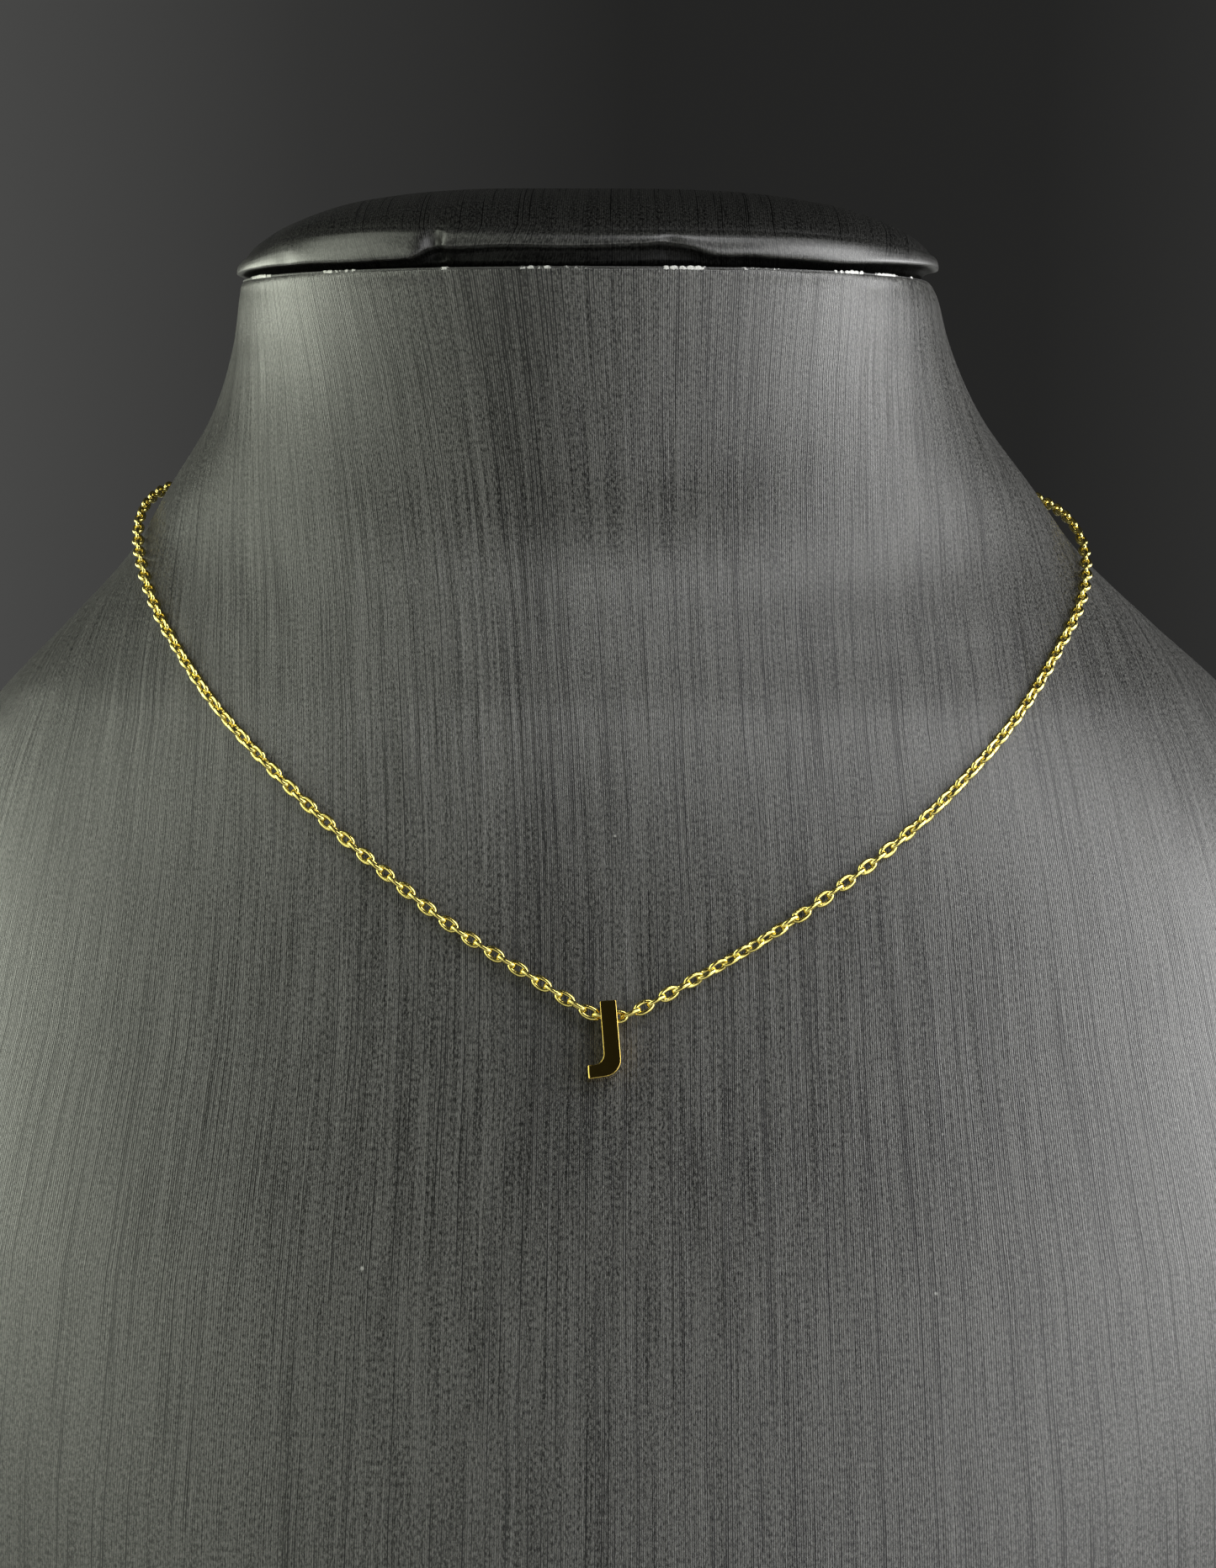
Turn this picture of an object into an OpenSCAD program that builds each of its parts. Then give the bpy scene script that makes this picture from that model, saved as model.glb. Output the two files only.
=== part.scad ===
// Initial pendant necklace on a neck bust.
// A small solid letter J slides on a fine cable chain, which lies round a bust wrapped in ribbed leatherette.
// X runs across the shoulders, the front faces -Y, Z is up, and the bust stands on z = 0. Sizes are in mm.

/* [Neck bust] */
// Height from the base to the seam under the cap
bust_h = 172; // [160:1:185]
// Width across the shoulders
shoulder_w = 204; // [190:1:220]
// Depth from the foot of the chest to the back of the shoulders
bust_d = 145; // [138:1:155]
// Width of the neck at the seam
neck_w = 90; // [84:1:96]
// Depth of the neck at the seam
neck_d = 78; // [72:1:82]
// Setback of the neck's front from the foot of the chest
neck_setback = 59; // [54:1:62]
// Setback of the shoulders' widest line from the foot of the chest
shoulder_setback = 90; // [84:1:96]
// Sideways lean of the neck at the seam
neck_lean = 4.5; // [0:0.5:8]
// Squareness of the level sections, where 2 is an ellipse
squareness = 2.1; // [2:0.05:2.5]
// Radius of the wrapped edge round the base
base_edge_r = 2; // [1:0.5:4]

/* [Neck cap] */
// Rise of the cap above the seam
cap_h = 11.2; // [8:0.1:13]
// Overhang of the cap past the neck, all round
cap_overhang = 0.4; // [0.2:0.1:1]
// Height of the glued seam between the neck and the cap
seam_gap = 0.2; // [0.1:0.05:0.4]

/* [Chain] */
// Width of the chain's links
chain_w = 1.5; // [1.2:0.1:1.6]
// Clearance between the chain, the letter, the clasp and what they lie on
rest_gap = 0.15; // [0.1:0.05:0.3]

/* [Letter] */
// Height of the letter
letter_h = 8.3; // [7:0.1:12]
// Width over the stem and the hook
letter_w = 3.6; // [3.2:0.1:5]
// Depth from front to back
letter_d = 3; // [2.8:0.1:4]
// Width of the stem
stem_w = 1.75; // [1.5:0.05:2.2]
// Thickness of the foot of the hook
foot_t = 1.4; // [1.2:0.05:2]
// Outer radius of the hook's bend
bend_r = 2; // [1.5:0.1:2.4]
// Inner radius of the hook's bend
inner_r = 0.8; // [0.4:0.1:1]
// Diameter of the hole that the chain runs through
bore_d = 2.2; // [2.2:0.1:2.4]
// Distance from the top of the stem to the hole's centre
bore_drop = 1.6; // [1.5:0.1:2.5]
// Tilt of the letter on its chain, in degrees
letter_tilt = 4.8; // [0:0.2:8]

/* [Clasp] */
// Length over both ends
clasp_l = 9; // [7:0.5:12]
// Width of the body
clasp_w = 3.6; // [3:0.1:4.5]
// Thickness
clasp_t = 1.8; // [1.4:0.1:2]
// Outer diameter of the small eye
eye_w = 2.6; // [2.2:0.1:3]
// Diameter of the hole in the eye
eye_d = 1.2; // [1:0.1:1.4]
// Diameter of the hole in the body
hook_d = 1.7; // [1.4:0.1:2]

/* [Hidden] */
$fn = 64;
leatherette = "#3c3e3f";
cap_black = "#242526";
gold = "#d8b04a";

// Steps of the lofted surfaces
around = 60;
bust_rings = 34;
edge_steps = 3;
chain_sides = 8;
rings_a_row = 2;

// Lines that divide the depth
foot_y = -bust_d / 2;
throat_y = foot_y + neck_setback;
neck_mid_y = throat_y + neck_d / 2;
nape_y = throat_y + neck_d;
shoulder_y = foot_y + shoulder_setback;
back_y = bust_d / 2;

// Level sections of the bust, from the base up to the seam. The columns are the height as a share of bust_h,
// the spread from the neck's width (0) to the shoulders' (1), the front from the neck's (0) to the foot of the
// chest (1), the back from the neck's (0) to the shoulders' (1), the widest line from the middle of the neck (0)
// to that of the shoulders (1), and the lean as a share of neck_lean.
HEIGHT = 0;
SPREAD = 1;
FRONT = 2;
BACK = 3;
WIDEST = 4;
LEAN = 5;
SECTIONS = [
    [0.00, 0.90, 1.00, 0.65, 1.00, 0.00],
    [0.08, 0.94, 0.96, 0.80, 1.00, 0.00],
    [0.18, 0.98, 0.88, 0.90, 1.00, 0.00],
    [0.32, 1.00, 0.72, 1.00, 1.00, 0.00],
    [0.44, 0.99, 0.57, 0.95, 1.00, 0.00],
    [0.54, 0.93, 0.44, 0.78, 1.00, 0.00],
    [0.62, 0.81, 0.34, 0.55, 1.00, 0.08],
    [0.70, 0.60, 0.22, 0.30, 1.00, 0.26],
    [0.75, 0.44, 0.12, 0.15, 0.97, 0.39],
    [0.80, 0.29, 0.03, 0.03, 0.85, 0.51],
    [0.85, 0.19, -0.02, -0.05, 0.62, 0.63],
    [0.90, 0.09, -0.03, -0.08, 0.35, 0.75],
    [0.95, 0.03, -0.02, -0.05, 0.15, 0.88],
    [1.00, 0.00, 0.00, 0.00, 0.00, 1.00]
];

// Outline of the cap, from the seam up: an undercut, a rolled band and the dome. The columns are the rise as a
// share of cap_h, and the reach as a share of the half width.
RISE = 0;
REACH = 1;
CAP = [
    [0.00, 0.965],
    [0.11, 0.965],
    [0.16, 0.990],
    [0.20, 1.000],
    [0.32, 0.997],
    [0.37, 0.982],
    [0.45, 0.955],
    [0.60, 0.890],
    [0.71, 0.805],
    [0.80, 0.690],
    [0.88, 0.540],
    [0.94, 0.380],
    [0.98, 0.200],
    [1.00, 0.040]
];

// Drop of the clasp below the seam, and the angle from the middle of the back at which the chain meets it
BACK_DROP = 25;
clasp_angle =
    let(reach = (clasp_l / 2 + rest_gap) / section(bust_h - BACK_DROP)[0])
    asin(pow(reach, squareness / 2));

// The chain's route, from one end of the clasp round the front to the other. The columns are the angle round
// the bust in degrees from its front, the drop below the seam in mm, and the lift off the bust, where 1 is the
// height at which the letter carries the chain. The first and last angles follow from the clasp.
ANGLE = 0;
DROP = 1;
LIFT = 2;
ROUTE = concat(
    [[clasp_angle - 180, BACK_DROP, 1]],
    [
        [-164, 25.0, 0.3], [-149, 25.1, 0], [-133, 25.3, 0], [-116, 25.8, 0.3], [-105, 26.5, 1],
        [-94, 27.8, 1.2], [-83, 30.2, 0.7], [-72, 33.3, 0], [-61, 36.8, 0], [-50, 41.4, 0],
        [-40, 46.8, 0], [-31, 52.9, 0], [-23, 59.5, 0], [-16, 66.2, 0], [-10, 72.6, 0],
        [-5.4, 77.1, 0.4], [-2.9, 79.8, 0.9], [-1.4, 81.3, 1], [-0.5, 81.6, 1], [0.4, 81.4, 1],
        [1.8, 80.1, 0.8], [4.3, 77.7, 0.3], [9, 73.4, 0], [15, 67.8, 0], [22, 61.6, 0],
        [30, 55.2, 0], [39, 49.0, 0], [49, 43.7, 0], [60, 39.4, 0], [71, 36.1, 0],
        [82, 33.1, 0.7], [93, 30.3, 1.2], [104, 28.2, 1], [115, 26.8, 0.3], [132, 25.7, 0],
        [149, 25.1, 0], [164, 25.0, 0.3]
    ],
    [[180 - clasp_angle, BACK_DROP, 1]]
);
LETTER_ROW = 19;

chain_r = chain_w / 2;
carry = (letter_d - chain_w) / 2;
nudge = 0.01;

// Value of column c of a table at x, on a smooth curve through its rows, where k is the column that x runs along
function row_below(t, k, x, i = 0) = i >= len(t) - 2 || x < t[i + 1][k] ? i : row_below(t, k, x, i + 1);
function slope(t, k, c, i) =
    let(a = max(i - 1, 0), b = min(i + 1, len(t) - 1))
    (t[b][c] - t[a][c]) / (t[b][k] - t[a][k]);
function smooth(t, k, c, x) =
    let(i = row_below(t, k, x), d = t[i + 1][k] - t[i][k], s = (x - t[i][k]) / d)
    (2 * pow(s, 3) - 3 * pow(s, 2) + 1) * t[i][c]
    + (pow(s, 3) - 2 * pow(s, 2) + s) * d * slope(t, k, c, i)
    + (3 * pow(s, 2) - 2 * pow(s, 3)) * t[i + 1][c]
    + (pow(s, 3) - pow(s, 2)) * d * slope(t, k, c, i + 1);

function unit(v) = v / norm(v);
function bent(v) = sign(v) * pow(abs(v), 2 / squareness);

// A level section at height z: half width, front line, widest line, back line, and sideways shift
function section(z) =
    let(h = z / bust_h)
    [
        (neck_w + (shoulder_w - neck_w) * smooth(SECTIONS, HEIGHT, SPREAD, h)) / 2,
        throat_y + (foot_y - throat_y) * smooth(SECTIONS, HEIGHT, FRONT, h),
        neck_mid_y + (shoulder_y - neck_mid_y) * smooth(SECTIONS, HEIGHT, WIDEST, h),
        nape_y + (back_y - nape_y) * smooth(SECTIONS, HEIGHT, BACK, h),
        -neck_lean * smooth(SECTIONS, HEIGHT, LEAN, h)
    ];

// Point of a section at angle a from the front, with the section grown by a margin and then scaled
function on_section(s, a, z, grow = 0, scaled = 1) = [
    s[4] + scaled * (s[0] + grow) * bent(sin(a)),
    s[2] - scaled * (grow + (cos(a) > 0 ? s[2] - s[1] : s[3] - s[2])) * bent(cos(a)),
    z
];
function ring(s, z, grow = 0, scaled = 1) =
    [for (i = [0 : around - 1]) on_section(s, 360 * i / around, z, grow, scaled)];

// Point of the bust at angle a and height z, and the direction straight out of it there
function on_bust(a, z) = on_section(section(z), a, z);
function out_of_bust(a, z) =
    unit(cross(on_bust(a + nudge, z) - on_bust(a - nudge, z), on_bust(a, z + nudge) - on_bust(a, z - nudge)));

// The chain's centre line, where u counts the rows of its route
ROWS = [for (i = [0 : len(ROUTE) - 1]) concat([i], ROUTE[i])];
function route(u, c) = smooth(ROWS, 0, c + 1, u);
function chain_point(u) =
    let(a = route(u, ANGLE), z = bust_h - route(u, DROP))
    on_bust(a, z) + out_of_bust(a, z) * (chain_r + rest_gap + carry * route(u, LIFT));
function chain_ring(u) =
    let(
        along = unit(chain_point(min(u + nudge, len(ROUTE) - 1)) - chain_point(max(u - nudge, 0))),
        across = unit(cross(along, out_of_bust(route(u, ANGLE), bust_h - route(u, DROP)))),
        out = cross(across, along)
    )
    [
        for (i = [0 : chain_sides - 1])
            let(a = 360 * i / chain_sides)
            chain_point(u) + chain_r * (cos(a) * out + sin(a) * across)
    ];

// A closed skin over a stack of rings that have the same number of points
module loft(rings) {
    n = len(rings[0]);
    last = len(rings) - 1;
    sides = [
        for (j = [0 : last - 1], i = [0 : n - 1])
            let(a = j * n + i, b = j * n + (i + 1) % n)
            each [[a, a + n, b + n], [a, b + n, b]]
    ];
    ends = [
        [for (i = [0 : n - 1]) i],
        [for (i = [n - 1 : -1 : 0]) last * n + i]
    ];
    polyhedron(points = [for (r = rings) each r], faces = concat(sides, ends));
}

// The wrapped form: a neck that flares into sloping shoulders and a chest
module neck_bust() {
    edge = [
        for (i = [0 : edge_steps - 1])
            let(t = 90 * i / edge_steps, z = base_edge_r * (1 - cos(t)))
            ring(section(z), z, -base_edge_r * (1 - sin(t)))
    ];
    body = [
        for (i = [0 : bust_rings])
            let(z = base_edge_r + (bust_h - base_edge_r) * i / bust_rings)
            ring(section(z), z)
    ];
    color(leatherette) loft(concat(edge, body));
}

// The wrapped plug over the neck: a rolled band over an undercut, and a low dome
module neck_cap() {
    neck_top = section(bust_h);
    color(cap_black)
        loft([
            for (row = CAP)
                ring(neck_top, bust_h + seam_gap + cap_h * row[RISE], cap_overhang, row[REACH])
        ]);
}

// The outer shape of the cable chain, along its whole route
module cable_chain() {
    steps = rings_a_row * (len(ROUTE) - 1);
    color(gold) loft([for (i = [0 : steps]) chain_ring(i / rings_a_row)]);
}

// A square corner outside a quarter circle
module corner(r) {
    difference() {
        square(r);
        translate([0, r]) circle(r);
    }
}

// Front view of the letter, from the middle of its top down
module letter_outline() {
    difference() {
        union() {
            translate([-stem_w / 2, -letter_h]) square([stem_w, letter_h]);
            translate([stem_w / 2 - letter_w, -letter_h]) square([letter_w, foot_t]);
            translate([-stem_w / 2 - inner_r, foot_t - letter_h]) corner(inner_r);
        }
        translate([stem_w / 2 - bend_r, -letter_h]) corner(bend_r);
    }
}

// The letter lies on the chest and hangs by the hole in its stem
module initial_letter() {
    face = out_of_bust(ROUTE[LETTER_ROW][ANGLE], bust_h - ROUTE[LETTER_ROW][DROP]);
    color(gold)
        translate(chain_point(LETTER_ROW))
            rotate([-asin(face.z), 0, atan2(face.x, -face.y)])
                rotate([0, -letter_tilt, 0])
                    difference() {
                        translate([0, 0, bore_drop])
                            rotate([90, 0, 0])
                                linear_extrude(letter_d, center = true) letter_outline();
                        rotate([0, 90, 0]) cylinder(h = 2 * letter_w, d = bore_d, center = true);
                    }
}

// The plain closed clasp at the nape: a long body with a hole at one end and a small eye at the other
module clasp() {
    start = chain_point(0);
    end = chain_point(len(ROUTE) - 1);
    face = out_of_bust(180, bust_h - BACK_DROP);
    body_l = clasp_l - eye_w + (eye_w - eye_d) / 2;
    color(gold)
        translate((start + end) / 2)
            rotate([asin(face.z), 0, 0])
                rotate([90, 0, 0])
                    linear_extrude(clasp_t, center = true)
                        difference() {
                            union() {
                                translate([clasp_l / 2 - clasp_w / 2, 0]) circle(d = clasp_w);
                                translate([clasp_l / 2 - body_l + clasp_w / 2, 0]) circle(d = clasp_w);
                                translate([clasp_l / 2 - body_l + clasp_w / 2, -clasp_w / 2])
                                    square([body_l - clasp_w, clasp_w]);
                                translate([(eye_w - clasp_l) / 2, 0]) circle(d = eye_w);
                            }
                            translate([(eye_w - clasp_l) / 2, 0]) circle(d = eye_d);
                            translate([(clasp_l - clasp_w) / 2, 0]) circle(d = hook_d);
                        }
}

neck_bust();
neck_cap();
cable_chain();
initial_letter();
clasp();
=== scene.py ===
"""Finishes an initial pendant necklace and the neck bust that wears it.

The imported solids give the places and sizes. This script puts a finished skin over each: ribbed leatherette on
the bust and its cap, a glued edge between them, a cable chain link by link, a polished letter J and a clasp.
Lengths in the code are millimetres in the row frame: X runs across the shoulders, the front faces -Y and Z is
up. A mesh is turned into metres once, when it is made. The camera and the lights are in metres.
"""

import math

import bpy
import numpy as np
from mathutils import Matrix, Vector


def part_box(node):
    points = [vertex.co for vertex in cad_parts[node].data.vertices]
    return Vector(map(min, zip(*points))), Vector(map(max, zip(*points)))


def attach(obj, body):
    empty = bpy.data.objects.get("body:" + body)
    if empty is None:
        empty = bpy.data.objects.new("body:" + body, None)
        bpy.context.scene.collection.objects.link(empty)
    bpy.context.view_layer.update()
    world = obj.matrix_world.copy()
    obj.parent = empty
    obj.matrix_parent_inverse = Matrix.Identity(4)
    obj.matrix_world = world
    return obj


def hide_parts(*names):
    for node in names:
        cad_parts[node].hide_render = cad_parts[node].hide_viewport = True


bl_info = {
    "name": "Initial Pendant on a Neck Bust",
    "version": (1, 0, 0),
    "blender": (4, 5, 0),
    "location": "View3D > Sidebar > Pendant",
    "description": "Dresses a packed initial pendant necklace and its neck bust",
    "category": "Add Mesh",
}

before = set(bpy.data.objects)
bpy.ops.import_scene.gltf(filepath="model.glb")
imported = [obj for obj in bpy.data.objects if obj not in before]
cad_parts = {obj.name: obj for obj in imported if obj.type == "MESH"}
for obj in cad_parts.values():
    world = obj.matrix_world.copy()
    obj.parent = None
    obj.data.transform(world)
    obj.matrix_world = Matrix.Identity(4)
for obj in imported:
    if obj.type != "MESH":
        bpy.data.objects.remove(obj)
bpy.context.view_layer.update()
MM = 0.001
RIBS = "ribs"
ZONE = "zone"

# Sizes of the solids in the part's source
BUST_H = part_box("neck_bust")[1].z / MM
SHOULDER_W = 204.0
BUST_D = 145.0
NECK_W = 90.0
NECK_D = 78.0
FOOT_Y = -BUST_D / 2
THROAT_Y = FOOT_Y + 59.0
NECK_MID_Y = THROAT_Y + NECK_D / 2
NAPE_Y = THROAT_Y + NECK_D
SHOULDER_Y = FOOT_Y + 90.0
BACK_Y = BUST_D / 2
NECK_LEAN = 4.5
SQUARENESS = 2.1
BASE_EDGE_R = 2.0
SEAM_GAP = 0.2
CAP_OVERHANG = 0.4
CHAIN_R = 0.75
REST_GAP = 0.15
CARRY = 0.75
BACK_DROP = 25.0
LETTER_ROW = 19
BORE_DROP = 1.6
BORE_R = 1.1

# A small step for slopes, the steps along the chain's path, and the rows up the bust's wall
NUDGE = 0.01
PATH_STEPS = 4000
WALL_ROWS = 169

# Level sections of the bust: height, spread, front, back, widest line and lean, as shares
SECTIONS = np.array([
    [0.00, 0.90, 1.00, 0.65, 1.00, 0.00],
    [0.08, 0.94, 0.96, 0.80, 1.00, 0.00],
    [0.18, 0.98, 0.88, 0.90, 1.00, 0.00],
    [0.32, 1.00, 0.72, 1.00, 1.00, 0.00],
    [0.44, 0.99, 0.57, 0.95, 1.00, 0.00],
    [0.54, 0.93, 0.44, 0.78, 1.00, 0.00],
    [0.62, 0.81, 0.34, 0.55, 1.00, 0.08],
    [0.70, 0.60, 0.22, 0.30, 1.00, 0.26],
    [0.75, 0.44, 0.12, 0.15, 0.97, 0.39],
    [0.80, 0.29, 0.03, 0.03, 0.85, 0.51],
    [0.85, 0.19, -0.02, -0.05, 0.62, 0.63],
    [0.90, 0.09, -0.03, -0.08, 0.35, 0.75],
    [0.95, 0.03, -0.02, -0.05, 0.15, 0.88],
    [1.00, 0.00, 0.00, 0.00, 0.00, 1.00],
])

# The chain's route between the clasp's ends: angle round the bust, drop below the seam, and lift off the bust
ROUTE = np.array([
    [-164, 25.0, 0.3],
    [-149, 25.1, 0],
    [-133, 25.3, 0],
    [-116, 25.8, 0.3],
    [-105, 26.5, 1],
    [-94, 27.8, 1.2],
    [-83, 30.2, 0.7],
    [-72, 33.3, 0],
    [-61, 36.8, 0],
    [-50, 41.4, 0],
    [-40, 46.8, 0],
    [-31, 52.9, 0],
    [-23, 59.5, 0],
    [-16, 66.2, 0],
    [-10, 72.6, 0],
    [-5.4, 77.1, 0.4],
    [-2.9, 79.8, 0.9],
    [-1.4, 81.3, 1],
    [-0.5, 81.6, 1],
    [0.4, 81.4, 1],
    [1.8, 80.1, 0.8],
    [4.3, 77.7, 0.3],
    [9, 73.4, 0],
    [15, 67.8, 0],
    [22, 61.6, 0],
    [30, 55.2, 0],
    [39, 49.0, 0],
    [49, 43.7, 0],
    [60, 39.4, 0],
    [71, 36.1, 0],
    [82, 33.1, 0.7],
    [93, 30.3, 1.2],
    [104, 28.2, 1],
    [115, 26.8, 0.3],
    [132, 25.7, 0],
    [149, 25.1, 0],
    [164, 25.0, 0.3],
])

# Turn of the links about the chain, in degrees, at a distance from the letter along the chain
TURNS = np.array([
    [-186, 0],
    [-172, 20],
    [-150, 45],
    [-80, 45],
    [-62, 42],
    [-50, 28],
    [-38, 14],
    [-20, 4],
    [-2, 0],
    [5, 0],
    [8.5, 20],
    [12, 42],
    [20, 54],
    [23, 72],
    [25.5, 90],
    [34, 94],
    [38, 112],
    [43, 130],
    [60, 136],
    [150, 136],
    [172, 160],
    [186, 180],
])

# Upright section of the cap: its stage, from the seam (0) to the lip (1), the rim (2) and the crown (3), and
# how far it stands in from the widest line
CAP_SIDE = np.array([
    [0.05, 7.0],
    [0.00, 2.6],
    [0.25, 1.9],
    [0.50, 1.7],
    [0.72, 1.40],
    [0.84, 1.00],
    [0.94, 0.42],
    [1.00, 0.10],
    [1.06, -0.03],
    [1.15, -0.07],
    [1.30, -0.05],
    [1.50, 0.03],
    [1.70, 0.20],
    [1.85, 0.45],
    [1.96, 0.80],
    [2.06, 1.30],
    [2.20, 2.40],
    [2.43, 5.40],
    [2.65, 10.2],
    [2.84, 18.0],
    [2.95, 28.0],
    [3.00, 41.0],
])

# The crown's height above the seam, and the rows up the cap
CAP_RISE = 11.4
CAP_ROWS = 110

# Height of the lip and of the rim above the seam, at angles round the cap
CAP_EDGE = np.array([
    [-180, 1.8, 3.6],
    [-95, 0.8, 2.4],
    [-75, 0.7, 2.5],
    [-65, 0.8, 3.0],
    [-57, 0.9, 3.9],
    [-51, 0.85, 4.4],
    [-46, 0.9, 4.6],
    [-40, 0.9, 4.7],
    [-32, 0.95, 4.75],
    [-25, 1.15, 4.6],
    [-22, 2.4, 4.5],
    [-18, 2.3, 4.35],
    [-10, 2.3, 4.15],
    [0, 2.25, 3.95],
    [8, 2.4, 4.0],
    [11, 2.6, 4.0],
    [15, 2.2, 4.05],
    [19, 1.35, 4.05],
    [25, 1.35, 4.05],
    [31, 1.1, 4.0],
    [40, 0.9, 3.9],
    [50, 1.0, 3.8],
    [60, 1.25, 3.5],
    [72, 1.4, 3.1],
    [90, 1.3, 3.0],
    [110, 1.8, 3.4],
    [180, 1.8, 3.6],
])

# Bells round the cap, each with a height, a middle angle and a width: how far the groove runs in under the
# lip, and how far the gathers draw in the rolled edge. The even gathers count their angles from the back.
GROOVE_IN = ((1.3, 48, 24), (-1.2, -3, 15), (0.5, -42, 12))
GATHERS = ((1.5, -21.6, 1.5), (0.3, 12, 1.4), (0.2, -52, 2.5))
BACK_GATHERS = tuple((0.4, middle, 2.6) for middle in range(-68, 76, 17))

# The same for how far the neck's top edge rolls in over its last few millimetres. Then the middle angle and
# the width of its drop there, and half the height of the cut edge.
EDGE_ROLL = ((0.9, 88, 26), (0.35, -88, 20))
EDGE_ROLL_H = 3.0
EDGE_DROP = (70, 26)
EDGE_HALF = 0.14

# White flakes of glue along the neck's edge: the angles where each starts and ends, its thickness and how far
# it reaches down. Each thins out over a few tenths of a degree.
FLAKE_END = 0.8
FLAKES = np.array([
    [-68, -57, 0.9, 0.25],
    [-43, -35, 0.5, 0.15],
    [-20.5, -18.5, 0.8, 0.2],
    [-8.5, -3.5, 0.6, 0.25],
    [-2.5, 1, 0.4, 0.1],
    [10.7, 17.6, 0.9, 1.3],
    [22, 30, 0.3, 0.3],
    [39.5, 47.8, 1.3, 0.3],
    [50, 58, 0.8, 0.15],
    [62.5, 65, 0.8, 0.1],
    [96, 103, 0.5, 0.2],
    [141, 146, 0.6, 0.3],
    [-152, -140, 0.6, 0.3],
    [-121, -117, 0.5, 0.2],
])

# Width of the ribs at heights up the bust, and how much wider they are out on the shoulders
RIB_SPREAD = np.array([
    [0, 1.03, 0.75],
    [40, 1.03, 0.70],
    [62, 1.02, 0.58],
    [86, 1.00, 0.32],
    [108, 1.00, 0.12],
    [120, 1.01, 0.00],
    [133, 1.04, -0.06],
    [148, 1.10, -0.14],
    [160, 1.18, -0.20],
    [172, 1.29, -0.25],
])
RIB_REACH = 60.0

# Angle from the front at which the ribs start to even out, over how many degrees, and the spare ribs for it
BACK_START = 80.0
BACK_BLEND = 70.0
SEAM_SPARE = 1.2

# Heights at which the skin's soft waves start, over which they grow, and by which they turn over, and the
# share of their full height that one wave has, because several meet
DENTS_FROM = 6.0
DENTS_BLEND = 20.0
DENTS_RISE = 40.0
DENTS_SHARE = 0.4

# The seam down the back, and the closed top inside the cap: how far in from the edge, as a share, and down
SEAM_DEPTH = 0.3
SEAM_WIDTH = 0.9
LID_IN = 0.975
LID_DROP = 0.3

# Radius of the letter's tight corners, and how wide a strip at its left counts as the hook's end
CORNER_R = 0.16
HOOK_END = 0.35

# Where the link through the letter stands along the chain, the links' squareness, and how far in from the
# clasp's ends the rings hang
MIDDLE_LINK = 0.86
LINK_POWER = 2.2
HOOK_IN = 0.95
EYE_IN = 0.7

# The clasp's body: place along it from its end with the small eye, half width and half thickness
CLASP_SIDE = np.array([
    [0.00, 0.02, 0.02],
    [0.08, 0.48, 0.18],
    [0.35, 0.92, 0.30],
    [0.90, 1.24, 0.36],
    [1.50, 1.28, 0.40],
    [2.20, 1.12, 0.52],
    [2.80, 1.22, 0.68],
    [3.60, 1.60, 0.84],
    [4.60, 1.79, 0.90],
    [5.80, 1.80, 0.86],
    [7.20, 1.72, 0.66],
    [8.10, 1.40, 0.50],
    [8.65, 0.95, 0.40],
    [8.93, 0.45, 0.24],
    [9.00, 0.02, 0.02],
])

# Its two holes: radius, the middle's distance in from the nearer end, and half the thickness there
CLASP_EYE = (0.6, 1.3, 0.38)
CLASP_HOLE = (0.85, 1.8, 0.6)

# Soft lights: name, the power it shares in, angle from the front towards the left, height, distance, size and
# its share of the power. All of them aim at one point.
LIGHTS = (
    ("left_rear_softbox", "left", 115, 0.125, 0.75, (0.6, 0.25), 0.31),
    ("left_softbox", "left", 95, 0.125, 0.75, (0.6, 0.25), 0.155),
    ("left_fill", "left", 60, 0.16, 0.75, (0.6, 0.3), 0.16),
    ("left_middle", "left", 75, 0.36, 0.7, (0.5, 0.25), 0.13),
    ("left_upper", "left", 80, 0.6, 0.6, (0.4, 0.4), 0.245),
    ("right_rear_softbox", "right", -115, 0.125, 0.75, (0.6, 0.25), 0.125),
    ("right_softbox", "right", -95, 0.125, 0.75, (0.6, 0.25), 0.26),
    ("right_fill", "right", -60, 0.16, 0.75, (0.6, 0.3), 0.09),
    ("right_front", "right", -38, 0.16, 0.75, (0.4, 0.3), 0.12),
    ("right_middle", "right", -75, 0.36, 0.7, (0.5, 0.25), 0.26),
    ("right_upper", "right", -80, 0.6, 0.6, (0.4, 0.4), 0.145),
    ("left_high", "high", 42, 0.85, 0.75, (0.4, 0.4), 0.125),
    ("right_high", "high", -42, 0.85, 0.75, (0.4, 0.4), 0.445),
    ("front_high", "high", -28, 0.95, 0.6, (0.4, 0.3), 0.43),
)
LIGHT_AIM = Vector((0, 0, 0.1))

# The camera's seat in metres, its turn to the right and pitch down in degrees, its lens and sensor
CAMERA_SEAT = Vector((0.0013, -0.28793, 0.1563))
CAMERA_TURN = -0.58
CAMERA_PITCH = 9.17
CAMERA_LENS = 53.75
CAMERA_SENSOR = 36.0

# The surroundings: places from left to right within a reach of straight ahead, and their share of the tone
SKY_REACH = 0.26
SKY_STOPS = ((0.0, 3.6), (0.25, 1.9), (0.5, 1.0), (0.82, 1.0), (1.0, 1.6))

# The round floor
FLOOR_R = 950.0
FLOOR_SIDES = 96


# Shapes as functions


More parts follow.
